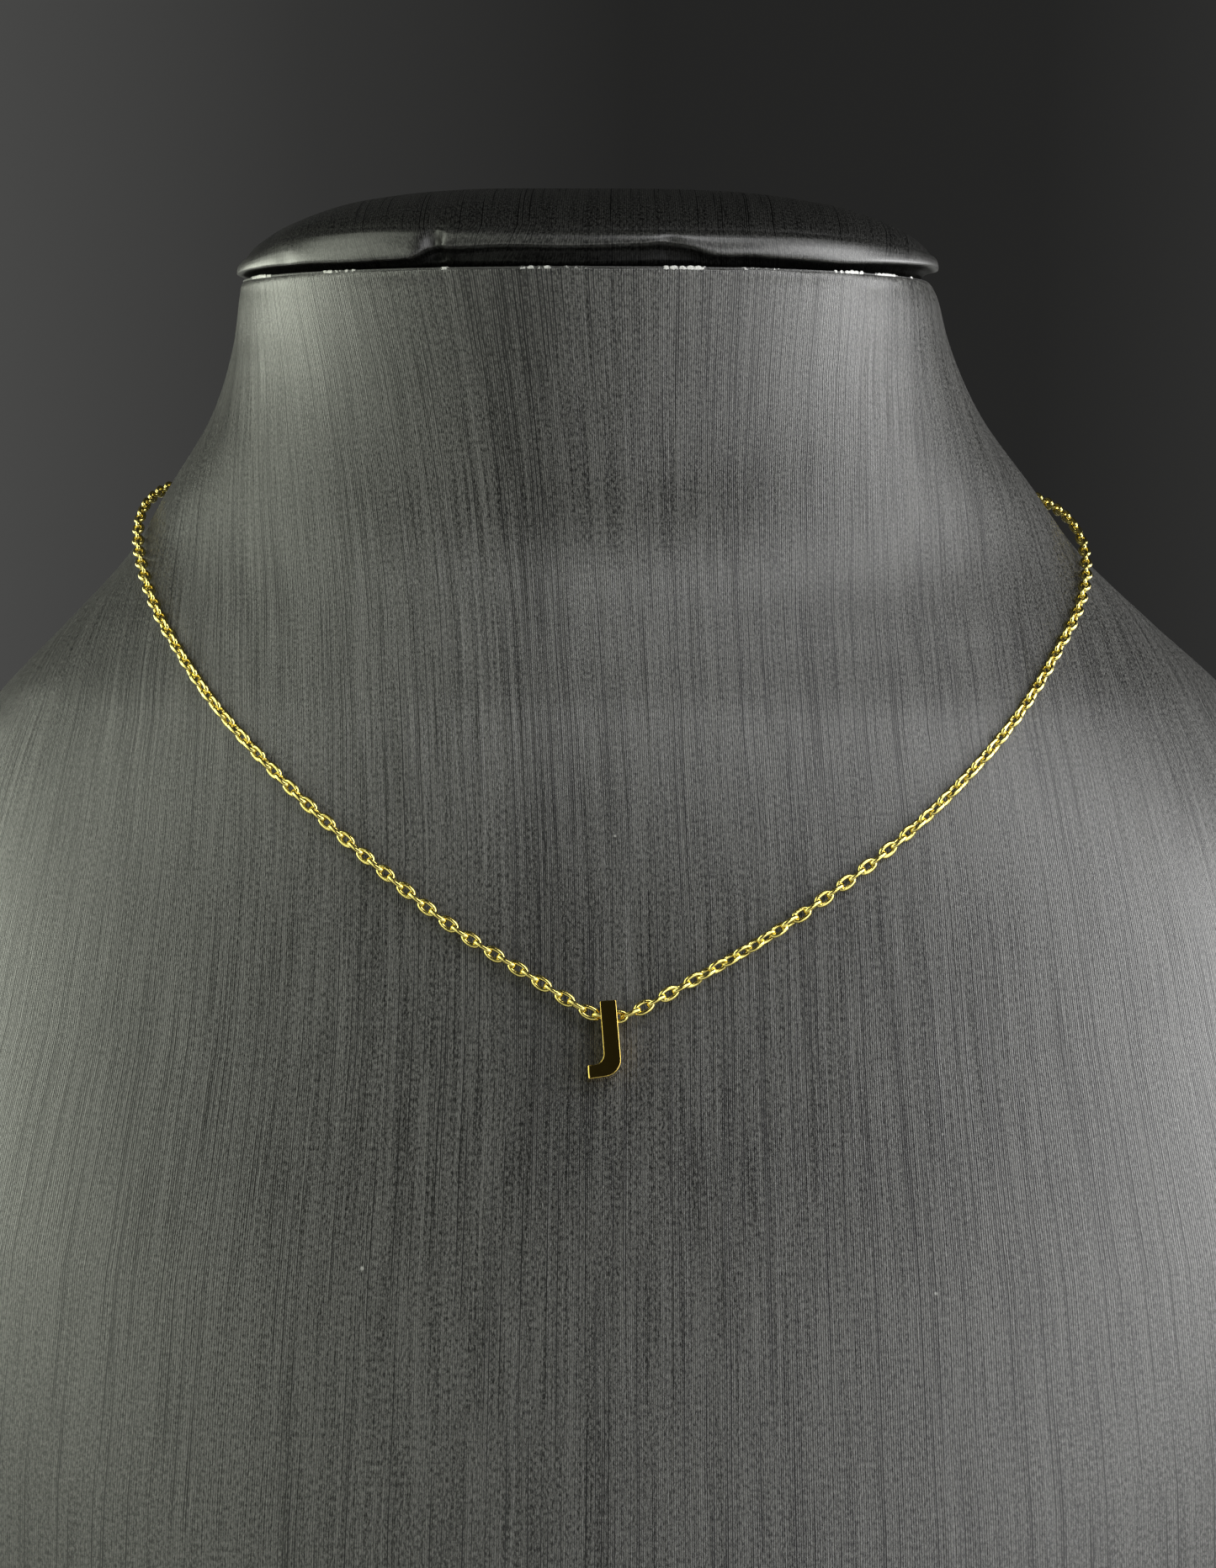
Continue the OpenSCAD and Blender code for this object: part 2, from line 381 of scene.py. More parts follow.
def smooth(table, column, x):
    """A column of a table at x, on Hermite cubics whose slope at each row is that of its two neighbours."""
    t, y = table[:, 0], table[:, column]
    slope = np.empty(len(t))
    slope[1:-1] = (y[2:] - y[:-2]) / (t[2:] - t[:-2])
    slope[0] = (y[1] - y[0]) / (t[1] - t[0])
    slope[-1] = (y[-1] - y[-2]) / (t[-1] - t[-2])
    i = np.clip(np.searchsorted(t, x, side="right") - 1, 0, len(t) - 2)
    d = t[i + 1] - t[i]
    s = (x - t[i]) / d
    start = (2 * s**3 - 3 * s**2 + 1) * y[i] + (s**3 - 2 * s**2 + s) * d * slope[i]
    end = (3 * s**2 - 2 * s**3) * y[i + 1] + (s**3 - s**2) * d * slope[i + 1]
    return start + end


def unit(v):
    """Vectors shortened to a length of one."""
    return v / np.linalg.norm(v, axis=-1, keepdims=True)


def bent(v, power=2 / SQUARENESS):
    """A sine or cosine raised to a power with its sign kept, which squares off a circle."""
    return np.sign(v) * np.abs(v) ** power


def bump(x, middle, width):
    """A bell of height one round a middle."""
    return np.exp(-(((x - middle) / width) ** 2))


def bumps(x, rows):
    """Bells added up, each given as a height, a middle and a width."""
    return sum(height * bump(x, middle, width) for height, middle, width in rows)


def added_up(steps, axis=0):
    """The steps along an axis as distances run from its start."""
    return np.insert(np.cumsum(steps, axis=axis), 0, 0, axis=axis)


def run_along(points):
    """The distances run along rows of points from the first row."""
    return added_up(np.linalg.norm(np.diff(points, axis=0), axis=-1))


def round_angles(count):
    """Even angles once round, in radians."""
    return np.radians(np.arange(count) * 360 / count)


def bust_point(a, z, grow=0.0, scaled=1.0):
    """The bust's skin at angle a from the front and height z.

    A level section is a squared ellipse: half width times bent sin a across, and the front's or the back's
    depth times bent cos a from its widest line. All five of its sizes run smoothly with the height.
    """
    a = np.radians(a)
    h = np.clip(z / BUST_H, 0, 1)
    spread, front, back, widest, lean = (smooth(SECTIONS, c, h) for c in range(1, 6))
    half = (NECK_W + (SHOULDER_W - NECK_W) * spread) / 2
    front = THROAT_Y + (FOOT_Y - THROAT_Y) * front
    back = NAPE_Y + (BACK_Y - NAPE_Y) * back
    middle = NECK_MID_Y + (SHOULDER_Y - NECK_MID_Y) * widest
    depth = np.where(np.cos(a) > 0, middle - front, back - middle)
    x = -NECK_LEAN * lean + scaled * (half + grow) * bent(np.sin(a))
    y = middle - scaled * (depth + grow) * bent(np.cos(a))
    return np.stack(np.broadcast_arrays(x, y, z), axis=-1)


def rolled(a, z):
    """How far the neck's top edge rolls in: bells round it, times the squared share of its height."""
    share = np.clip(1 - (BUST_H - z) / EDGE_ROLL_H, 0, 1) ** 2
    return -share * bumps(a, EDGE_ROLL)


def bust_out(a, z):
    """The direction straight out of the bust, from the cross product of its two small steps."""
    across = bust_point(a + NUDGE, z) - bust_point(a - NUDGE, z)
    up = bust_point(a, z + NUDGE) - bust_point(a, z - NUDGE)
    return unit(np.cross(across, up))


def clasp_angle():
    """The angle from the middle of the back at which the chain meets the clasp."""
    half = bust_point(90.0, BUST_H - BACK_DROP)[0] - bust_point(180.0, BUST_H - BACK_DROP)[0]
    reach = (bpy.context.scene.pendant_clasp.length / 2 + REST_GAP) / half
    return math.degrees(math.asin(reach ** (SQUARENESS / 2)))


def chain_path():
    """The chain's middle line at many even steps: its points, the bust's outward directions, and distances.

    A point lies out of the bust by the chain's radius, its clearance and its lift. Distances are counted from
    the middle of the letter's hole, to the left as negative.
    """
    c = clasp_angle()
    rows = np.vstack([[c - 180, BACK_DROP, 1], ROUTE, [180 - c, BACK_DROP, 1]])
    table = np.column_stack([np.arange(len(rows)), rows])
    u = np.linspace(0, len(rows) - 1, PATH_STEPS)
    a = smooth(table, 1, u)
    z = BUST_H - smooth(table, 2, u)
    out = bust_out(a, z)
    points = bust_point(a, z) + out * (CHAIN_R + REST_GAP + CARRY * smooth(table, 3, u))[:, None]
    run = run_along(points)
    return points, out, run - np.interp(LETTER_ROW, u, run)


def along(path, distance):
    """Points and outward directions of the chain's path at given distances from the letter."""
    *lines, run = path
    spots, out = (np.stack([np.interp(distance, run, k) for k in line.T], axis=-1) for line in lines)
    return spots, unit(out)


def waves(a, b, seed, count=6):
    """A smooth uneven field over an angle and b: a sum of sine waves with seeded directions and phases.

    Each wave closes after a whole number of turns, so the field closes round.
    """
    rng = np.random.default_rng(seed)
    turns = rng.integers(1, 9, count)
    climbs = rng.uniform(-3, 3, count)
    phases = rng.uniform(0, math.tau, count)
    a = np.radians(a)
    return sum(np.sin(t * a + c * b + f) for t, c, f in zip(turns, climbs, phases)) / math.sqrt(count)


def turned(a, middle):
    """The angle from a middle direction, brought between -180 and 180."""
    return (a - middle + 180) % 360 - 180


def turn_about(axis, angle):
    """The matrix that turns by an angle in radians about X, Y or Z, which are 0, 1 and 2."""
    turn = np.eye(3)
    second, third = (axis + 1) % 3, (axis + 2) % 3
    turn[second, second] = turn[third, third] = math.cos(angle)
    turn[second, third] = -math.sin(angle)
    turn[third, second] = math.sin(angle)
    return turn


# Meshes: a shape is its points in millimetres, the corners of its faces in one row, and the faces' sizes


def new_piece(name, shape, finish, replaced=(), uv=None, zone=None):
    """Makes a smooth mesh object of a shape, with its rib map by corner and its zone by point."""
    points, corners, sizes = shape
    mesh = bpy.data.meshes.new(name)
    mesh.vertices.add(len(points))
    mesh.vertices.foreach_set("co", (np.asarray(points) * MM).astype(np.float32).ravel())
    mesh.loops.add(len(corners))
    mesh.loops.foreach_set("vertex_index", np.asarray(corners, np.int32))
    mesh.polygons.add(len(sizes))
    mesh.polygons.foreach_set("loop_start", added_up(sizes)[:-1].astype(np.int32))
    mesh.update(calc_edges=True)
    if mesh.validate():
        raise RuntimeError(f"{name} has faces that don't hold together")
    if uv is not None:
        layer = mesh.uv_layers.new(name=RIBS)
        layer.data.foreach_set("uv", np.asarray(uv, np.float32).ravel())
    if zone is not None:
        mesh.attributes.new(ZONE, "FLOAT", "POINT").data.foreach_set("value", np.asarray(zone, np.float32))
    mesh.polygons.foreach_set("use_smooth", np.ones(len(sizes), bool))
    return placed(name, mesh, finish, replaced)


def new_object(name, data):
    """An object in the scene that holds a mesh, a camera or a light."""
    made = bpy.data.objects.new(name, data)
    bpy.context.scene.collection.objects.link(made)
    return made


def placed(name, mesh, finish, replaced=()):
    """Makes a piece of a mesh, gives it its finish and slot, and rides it on the one body."""
    piece = new_object(name, mesh)
    piece.data.materials.clear()
    piece.data.materials.append(finish)
    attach(piece, "root")
    if replaced:
        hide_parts(*replaced)
    return piece


def quads(rows, columns, steps):
    """Corners of the four-sided faces on a grid whose columns close round, over steps from its first row.

    With as many steps as rows, the last row joins the first.
    """
    j, i = np.meshgrid(np.arange(steps), np.arange(columns), indexing="ij")
    after = (i + 1) % columns
    here, above = j * columns, (j + 1) % rows * columns
    return np.stack([here + i, above + i, above + after, here + after], axis=-1).reshape(-1, 4)


def wrapped(points, uv=None):
    """A closed skin whose first and last rows are poles and whose columns close round, and its corner UVs.

    Rows run up and columns run from the front to +X, so faces point outwards. uv has one column more than the
    points, so that a pattern can end at the closing line.
    """
    rows, columns = points.shape[:2]
    inner = rows - 2
    i = np.arange(columns)
    after = (i + 1) % columns
    skin = np.vstack([points[:1, 0], points[1:-1].reshape(-1, 3), points[-1:, 0]])
    last = 1 + (inner - 1) * columns
    low = np.stack([0 * i, 1 + after, 1 + i], axis=-1)
    sides = 1 + quads(inner, columns, inner - 1)[:, [0, 3, 2, 1]]
    top = np.stack([last + i, last + after, 0 * i + len(skin) - 1], axis=-1)
    corners = np.concatenate([low.ravel(), sides.ravel(), top.ravel()])
    shape = skin, corners, np.concatenate([np.full(columns, 3), np.full(len(sides), 4), np.full(columns, 3)])
    if uv is None:
        return shape, None
    ends = i + 1
    j = np.arange(1, inner)[:, None]
    middle = (uv[:, :-1] + uv[:, 1:]) / 2
    low_uv = np.stack([middle[0], uv[1, ends], uv[1, i]], axis=1)
    side_uv = np.stack([uv[j, i], uv[j, ends], uv[j + 1, ends], uv[j + 1, i]], axis=2)
    top_uv = np.stack([uv[-2, i], uv[-2, ends], middle[-1]], axis=1)
    return shape, np.concatenate([part.reshape(-1, 2) for part in (low_uv, side_uv, top_uv)])


def carved(name, shapes, turn, place, finish, replaced):
    """Turns and places shapes, and makes the piece of the first less the others, with the exact Boolean.

    The cut is made at a thousand times the size, where single precision is ample, and then brought to metres.
    A face of more than four corners is one of the letter's flat sides, and stays flat.
    """
    objects = []
    for points, corners, sizes in shapes:
        mesh = bpy.data.meshes.new(name)
        faces = [face.tolist() for face in np.split(corners, np.cumsum(sizes)[:-1])]
        mesh.from_pydata((points @ turn.T + place).tolist(), [], faces)
        mesh.polygons.foreach_set("use_smooth", sizes <= 4)
        objects.append(new_object(name, mesh))
    body = objects[0]
    for tool in objects[1:]:
        cut = body.modifiers.new("cut", "BOOLEAN")
        cut.operation = "DIFFERENCE"
        cut.solver = "EXACT"
        cut.object = tool
    bpy.context.view_layer.update()
    made = bpy.data.meshes.new_from_object(body.evaluated_get(bpy.context.evaluated_depsgraph_get()))
    for o in objects:
        bpy.data.objects.remove(o)
    made.transform(Matrix.Scale(MM, 4))
    made.name = name
    return placed(name, made, finish, replaced)


# Finishes


class Wire:
    """The value on one socket. Python's arithmetic on it adds Math nodes."""

    def __init__(self, tree, socket):
        self.tree = tree
        self.socket = socket

    def math(self, operation, *values):
        return self.tree.node("ShaderNodeMath", {"operation": operation}, dict(enumerate(values)))

    def __add__(self, other):
        return self.math("ADD", self, other)

    def __sub__(self, other):
        return self.math("SUBTRACT", self, other)

    def __rsub__(self, other):
        return self.math("SUBTRACT", other, self)

    def __mul__(self, other):
        return self.math("MULTIPLY", self, other)

    def __truediv__(self, other):
        return self.math("DIVIDE", self, other)

    __radd__ = __add__
    __rmul__ = __mul__

    def floor(self):
        return self.math("FLOOR", self)

    def cosine(self):
        return self.math("COSINE", self)

    def above(self, edge, width):
        """Rises from 0 to 1 as the value passes an edge, over a width."""
        values = {"Value": self, "From Min": edge - width / 2, "From Max": edge + width / 2}
        return self.tree.node("ShaderNodeMapRange", {"interpolation_type": "SMOOTHSTEP"}, values)


class Tree:
    """A node tree that is built up one node at a time."""

    def __init__(self, tree):
        self.tree = tree

    def node(self, kind, settings=None, values=None, out=0):
        """Adds a node, makes its settings, then gives its sockets their values or links."""
        node = self.tree.nodes.new(kind)
        for name, setting in (settings or {}).items():
            if name == "stops":
                ramp = node.color_ramp.elements
                while len(ramp) < len(setting):
                    ramp.new(1.0)
                for element, (place, tone) in zip(ramp, setting):
                    element.position = place
                    element.color = tone
            else:
                setattr(node, name, setting)
        for name, value in (values or {}).items():
            self.feed(node.inputs[name], value)
        return Wire(self, node.outputs[out])

    def feed(self, socket, value):
        """Links a value to a socket, or sets a constant on it."""
        if isinstance(value, Wire):
            self.tree.links.new(value.socket, socket)
        else:
            socket.default_value = value


class Finish(Tree):
    """A material on one Principled shader."""

    def __init__(self, name, **values):
        self.material = bpy.data.materials.new(name)
        self.material.use_nodes = True
        super().__init__(self.material.node_tree)
        self.shader = self.tree.nodes["Principled BSDF"]
        self.give(**values)

    def give(self, **values):
        """Sets or links the shader's own sockets."""
        for name, value in values.items():
            self.feed(self.shader.inputs[name.replace("_", " ")], value)

    def places(self):
        """Object coordinates in millimetres."""
        spot = self.node("ShaderNodeTexCoord", out=3)
        return self.node("ShaderNodeVectorMath", {"operation": "SCALE"}, {0: spot, "Scale": 1 / MM})

    def split(self, vector):
        """The first two numbers of a vector."""
        first = self.node("ShaderNodeSeparateXYZ", values={0: vector})
        return first, Wire(self, first.socket.node.outputs[1])

    def pair(self, x, y):
        """A vector of two numbers."""
        return self.node("ShaderNodeCombineXYZ", values={0: x, 1: y})

    def noise(self, vector, scale=1.0, detail=2.0, rough=0.5):
        """Soft noise between 0 and 1, about one half."""
        values = {"Vector": vector, "Scale": scale, "Detail": detail, "Roughness": rough}
        return self.node("ShaderNodeTexNoise", values=values)

    def mix(self, share, a, b):
        """Two colours mixed by a share."""
        return self.node("ShaderNodeMix", {"data_type": "RGBA"}, {0: share, 6: a, 7: b}, out=2)

    def bump(self, height, distance):
        """A surface roughened by a height, where one unit of height is a distance in metres."""
        return self.node("ShaderNodeBump", values={"Height": height, "Distance": distance, "Strength": 1.0})


# The leatherette's noises: how fast each runs across a rib and along it per millimetre, detail and roughness
CLOTH_NOISE = {
    "wander": (0.03, 0.04, 1.0, 0.5),
    "fibres": (1.9, 0.035, 1.0, 0.5),
    "long": (0.09, 0.012, 3.0, 0.6),
    "grain": (1.1, 1.9, 2.0, 0.8),
    "line": (1.0, 0.05, 2.0, 0.6),
    "crease": (1.0, 0.02, 1.0, 0.5),
}
# Shares of its patterns in its tone, in the painted shade of its grooves, in its roughness and in its height
TONE = {"line": 0.8, "taut line": 0.3, "long": 0.1, "grain": 2.1}
RIB_GROOVE_SHADE_SHARES = {"crease": 1.0, "folded crease": 0.8, "line": 1.4, "fold": 0.3}
DULL = {"taut": -0.08, "line": 0.16, "grain": 0.12, "crease": 0.06}
RELIEF = {"ridge": 0.4, "fibres": 0.8, "grain": 0.4}
TONE_BLEND = 0.75
# Painted shade in every groove between ribs; creases, lines and folds add more painted shade
RIB_GROOVE_PAINTED_SHADE = 0.45
BLACK = (0.0, 0.0, 0.0, 1.0)

# How far ribs wander, in ribs, and how far apart in the noise two neighbours are
WANDER = 1.6
RIB_APART = 89.0

# Half the width of the folds in ribs, the height over which they start, and how far the noise has to rise for
# a groove to be a crease, less so in the folds
FOLD_HALF = 26.0
FOLD_BLEND = 20.0
CREASE_EDGE = 0.12
CREASE_BLEND = 0.1
FOLD_CREASES = 0.08

# Where the cloth is drawn taut below the cap: how far below the folds it starts, over what height
TAUT_BELOW = 20.0
TAUT_BLEND = 50.0

# Specks of dust: their colour, their size and its blend as shares of their spacing, the cells that have one,
# and how much they cover
DUST = (0.42, 0.42, 0.4, 1.0)
DUST_SIZE = (0.022, 0.012)
DUST_CELLS = (0.72, 0.02)
DUST_COVER = 0.5

# Stages of the cap with their blends: where the groove ends and where the dome starts, and how much painted
# shade darkens each and how much duller each is
GROOVE_END = (0.92, 0.12)
DOME_START = (1.75, 0.9)
LIP_GROOVE_PAINTED_SHADE, DOME_PAINTED_SHADE = 0.8, 0.6
GROOVE_DULL, DOME_DULL = 0.88, 0.75


def leatherette(name, cloth, folded=False, zoned=False):
    """Ribbed satin leatherette on the piece's rib map: U counts ribs and V runs along them in millimetres.

    Each rib is a cosine ridge, and painted shade darkens the grooves between ribs. Single ribs differ from
    their neighbours, grain breaks them up, creases darken some of the grooves with more painted shade, and a
    few specks of dust lie on the cloth. Folded cloth has more and darker painted-shade creases high on the
    front, where it is drawn taut. Zoned cloth has near-black painted shade in the groove under its lip, is
    glossy on its rolled edge, and is dull, with painted shade darkening it, over its dome.
    """
    f = Finish(name, Metallic=0.0, IOR=cloth.gloss_ior)
    u, v = f.split(f.node("ShaderNodeUVMap", {"uv_map": RIBS}))

    def noise(kind, place):
        across_rate, along_rate, detail, rough = CLOTH_NOISE[kind]
        return f.noise(f.pair(place * across_rate, v * along_rate), detail=detail, rough=rough) - 0.5

    def shared(shares):
        return sum(patterns[kind] * share for kind, share in shares.items())

    across = u + noise("wander", u) * WANDER
    rib = f.node("ShaderNodeTexWhiteNoise", {"noise_dimensions": "1D"}, {"W": across.floor()}) * RIB_APART
    fold, taut = 0.0, 0.0
    if folded:
        side = (u + cloth.fold_place) / FOLD_HALF
        fold = (1 - side * side).above(0.5, 1.0) * v.above(cloth.fold_rise, FOLD_BLEND)
        taut = v.above(cloth.fold_rise - TAUT_BELOW, TAUT_BLEND)
    line = noise("line", rib)
    crease = noise("crease", rib + 0.5).above(CREASE_EDGE - fold * FOLD_CREASES, CREASE_BLEND)
    patterns = {kind: noise(kind, across) for kind in ("fibres", "long", "grain")}
    patterns |= {"ridge": (across * math.tau).cosine() * 0.5 + 0.5, "line": line, "taut line": line * taut}
    patterns |= {"crease": crease, "folded crease": crease * fold, "fold": fold, "taut": taut}
    base = f.mix(shared(TONE).above(0.0, TONE_BLEND), tuple(cloth.shade), tuple(cloth.light))
    if zoned:
        zone = f.node("ShaderNodeAttribute", {"attribute_name": ZONE}, out=2)
        under = 1 - zone.above(*GROOVE_END)
        dome = zone.above(*DOME_START)
        # Painted shade: near black in the groove under the lip, and darker over the upward-facing dome
        base = f.mix(under * LIP_GROOVE_PAINTED_SHADE + dome * DOME_PAINTED_SHADE, base, BLACK)
        f.give(Coat_Roughness=cloth.roughness, Coat_Weight=1 - under * GROOVE_DULL - dome * DOME_DULL)
    # Painted shade: the grooves between the ribs are darkened in the colour, and the creases more so
    painted_groove_shade = (1 - patterns["ridge"]) * (RIB_GROOVE_PAINTED_SHADE + shared(RIB_GROOVE_SHADE_SHARES))
    values = {"Vector": f.places(), "Scale": 1 / cloth.dust_spacing}
    dust = f.node("ShaderNodeTexVoronoi", {"feature": "F1"}, values)
    cell = f.node("ShaderNodeSeparateColor", values={0: Wire(f, dust.socket.node.outputs["Color"])})
    speck = (1 - dust.above(*DUST_SIZE)) * cell.above(*DUST_CELLS)
    f.give(
        Base_Color=f.mix(speck * DUST_COVER, f.mix(painted_groove_shade, base, BLACK), DUST),
        Roughness=cloth.roughness + shared(DULL),
        Normal=f.bump(shared(RELIEF), cloth.rib_depth * MM),
    )
    return f.material


def polished_gold(name, metal):
    """Plated gold: clean metal with faint rubbing marks, a little darker where the plating is worn thin."""
    f = Finish(name, Metallic=1.0, IOR=1.5)
    spot = f.places()
    cloud = f.noise(spot, scale=0.9, detail=3.0)
    fine = f.noise(spot, scale=9.0, detail=3.0, rough=0.6)
    pits = f.noise(spot, scale=26.0, detail=1.0)
    worn = cloud.above(0.5, 0.5) * 0.5 + pits.above(0.66, 0.08) * 0.35
    f.give(
        Base_Color=f.mix(worn, tuple(metal.light), tuple(metal.shade)),
        Roughness=metal.roughness + (fine - 0.5) * metal.roughness * 0.8,
        Normal=f.bump(fine * 0.6 + pits * 0.4, metal.marks * MM),
    )
    return f.material


def torn_edge(name, glue):
    """The cut edge of the cloth: dark, and pale with glue where the first number of its map is high."""
    f = Finish(name, Metallic=0.0, IOR=1.5)
    tear, _ = f.split(f.node("ShaderNodeUVMap", {"uv_map": RIBS}))
    fray = f.noise(f.places(), scale=3.4, detail=3.0)
    pale = (tear + (fray - 0.5) * 1.5).above(0.42, 0.25)
    f.give(
        Base_Color=f.mix(pale, (0.025, 0.025, 0.024, 1.0), tuple(glue)),
        Roughness=0.5 - pale * 0.25,
        Normal=f.bump(fray, 0.15 * MM),
    )
    return f.material


def floor_paint(name, tone):
    """Plain paint with faint clouds in it."""
    f = Finish(name, Roughness=0.8)
    cloud = f.noise(f.places(), scale=0.004)
    f.give(Base_Color=f.mix(cloud * 0.2, tuple(tone), tuple(c * 0.9 for c in tone)))
    return f.material


# Sizes and colours that can be changed


def colour(name, text, value):
    """A colour that can be changed."""
    options = {"subtype": "COLOR", "size": 4, "min": 0, "max": 1}
    return bpy.props.FloatVectorProperty(name=name, description=text, default=(*value, 1.0), **options)


def number(name, text, value, low, high, **more):
    """A number that can be changed between two limits."""
    return bpy.props.FloatProperty(name=name, description=text, default=value, min=low, max=high, **more)


class PendantBust(bpy.types.PropertyGroup):
    rib_pitch: number("Rib pitch", "Width of one rib of the leatherette in mm", 0.222, 0.1, 2)
    rib_depth: number("Rib depth", "Depth of the grooves between ribs in mm", 0.045, 0, 0.2)
    roughness: number("Roughness", "Roughness of the leatherette", 0.40, 0, 1, subtype="FACTOR")
    gloss_ior: number("Gloss", "Index of refraction of the leatherette's finish", 1.5, 1, 2)
    light: colour("Cloth", "Colour of the brighter ribs", (0.116, 0.1155, 0.109))
    shade: colour("Streak", "Colour of the darker streaks", (0.004, 0.004, 0.0036))
    fold_place: number("Fold place", "Ribs from the front's middle to the folds' middle", 32, -200, 200)
    fold_rise: number("Fold rise", "Way up the front in mm at which the folds start", 168, 0, 300)
    dust_spacing: number("Dust spacing", "Distance between specks of dust in mm", 9.0, 2, 50)
    unevenness: number("Unevenness", "Height of the soft waves in the skin in mm", 0.12, 0, 1)


class PendantCap(bpy.types.PropertyGroup):
    rib_pitch: number("Rib pitch", "Width of one rib of the leatherette in mm", 0.26, 0.1, 2)
    rib_depth: number("Rib depth", "Depth of the grooves between ribs in mm", 0.05, 0, 0.2)
    roughness: number("Roughness", "Roughness of the leatherette", 0.33, 0, 1, subtype="FACTOR")
    gloss_ior: number("Gloss", "Index of refraction of the leatherette under its coat", 1.1, 1, 2)
    light: colour("Cloth", "Colour of the brighter ribs", (0.062, 0.062, 0.059))
    shade: colour("Streak", "Colour of the darker streaks", (0.003, 0.003, 0.0028))
    dust_spacing: number("Dust spacing", "Distance between specks of dust in mm", 6.0, 2, 50)
    pucker: number("Pucker", "Depth of the gathers in the rolled edge in mm", 1.0, 0, 2)
    fray: number("Fray", "Reach of the torn edge down the neck in mm", 0.6, 0, 2)
    glue: colour("Glued edge", "Colour of the cut and glued edge under the cap", (0.5, 0.5, 0.48))


class PendantChain(bpy.types.PropertyGroup):
    link_l: number("Link length", "Length over a link in mm", 2.58, 1, 6)
    link_w: number("Link width", "Width over a link in mm", 1.62, 0.8, 3)
    wire: number("Wire", "Thickness of the wire in mm", 0.54, 0.2, 1)
    pitch: number("Pitch", "Distance from one link to the next in mm", 1.555, 1, 5)
    light: colour("Gold", "Colour of the plating", (0.80, 0.68, 0.22))
    shade: colour("Worn gold", "Colour of the plating where it is rubbed", (0.50, 0.38, 0.09))
    roughness: number("Roughness", "Roughness of the plating", 0.12, 0, 1, subtype="FACTOR")
    marks: number("Marks", "Depth of the rubbing marks in mm", 0.006, 0, 0.05)


class PendantLetter(bpy.types.PropertyGroup):
    height: number("Height", "Height of the letter in mm", 8.3, 5, 15)
    width: number("Width", "Width over the stem and the hook in mm", 3.6, 2.5, 8)
    depth: number("Depth", "Depth from front to back in mm", 3.0, 2.5, 5)
    stem: number("Stem", "Width of the stem in mm", 1.75, 1, 3)
    edge: number("Edge", "Radius of the polished edges in mm", 0.08, 0.04, 0.4)
    end_edge: number("End edge", "Extra radius round the hook's end in mm", 0.16, 0, 0.3)
    tilt: number("Tilt", "Tilt of the letter on its chain in degrees", 4.8, 0, 15)
    # The letter's gold is darker and browner than the chain's: painted shade that darkens its mirror face
    light: colour("Gold", "Colour of the plating", (0.64, 0.46, 0.11))
    shade: colour("Worn gold", "Colour of the plating where it is rubbed", (0.50, 0.33, 0.09))
    roughness: number("Roughness", "Roughness of the plating", 0.07, 0, 1, subtype="FACTOR")
    marks: number("Marks", "Depth of the rubbing marks in mm", 0.003, 0, 0.05)


class PendantClasp(bpy.types.PropertyGroup):
    length: number("Length", "Length over both ends in mm", 9.0, 6, 14)
    ring: number("Ring", "Outer diameter of the end rings in mm", 2.9, 2.4, 3.2)
    ring_wire: number("Ring wire", "Thickness of the end rings' wire in mm", 0.5, 0.3, 0.8)


class PendantStage(bpy.types.PropertyGroup):
    floor: colour("Floor", "Colour of the floor", (0.62, 0.62, 0.61))
    backdrop: colour("Backdrop", "Colour of the plain surroundings", (0.018, 0.018, 0.0175))
    left: number("Left light", "Power of the left softboxes in watts", 7.0, 0, 200)
    right: number("Right light", "Power of the right softboxes in watts", 10.2, 0, 200)
    tint: colour("Left tint", "Colour of the left softboxes", (0.95, 1.0, 0.84))
    high: number("High light", "Power of the high softboxes in watts", 4.5, 0, 200)


# Operators, one for each piece and one for the stage


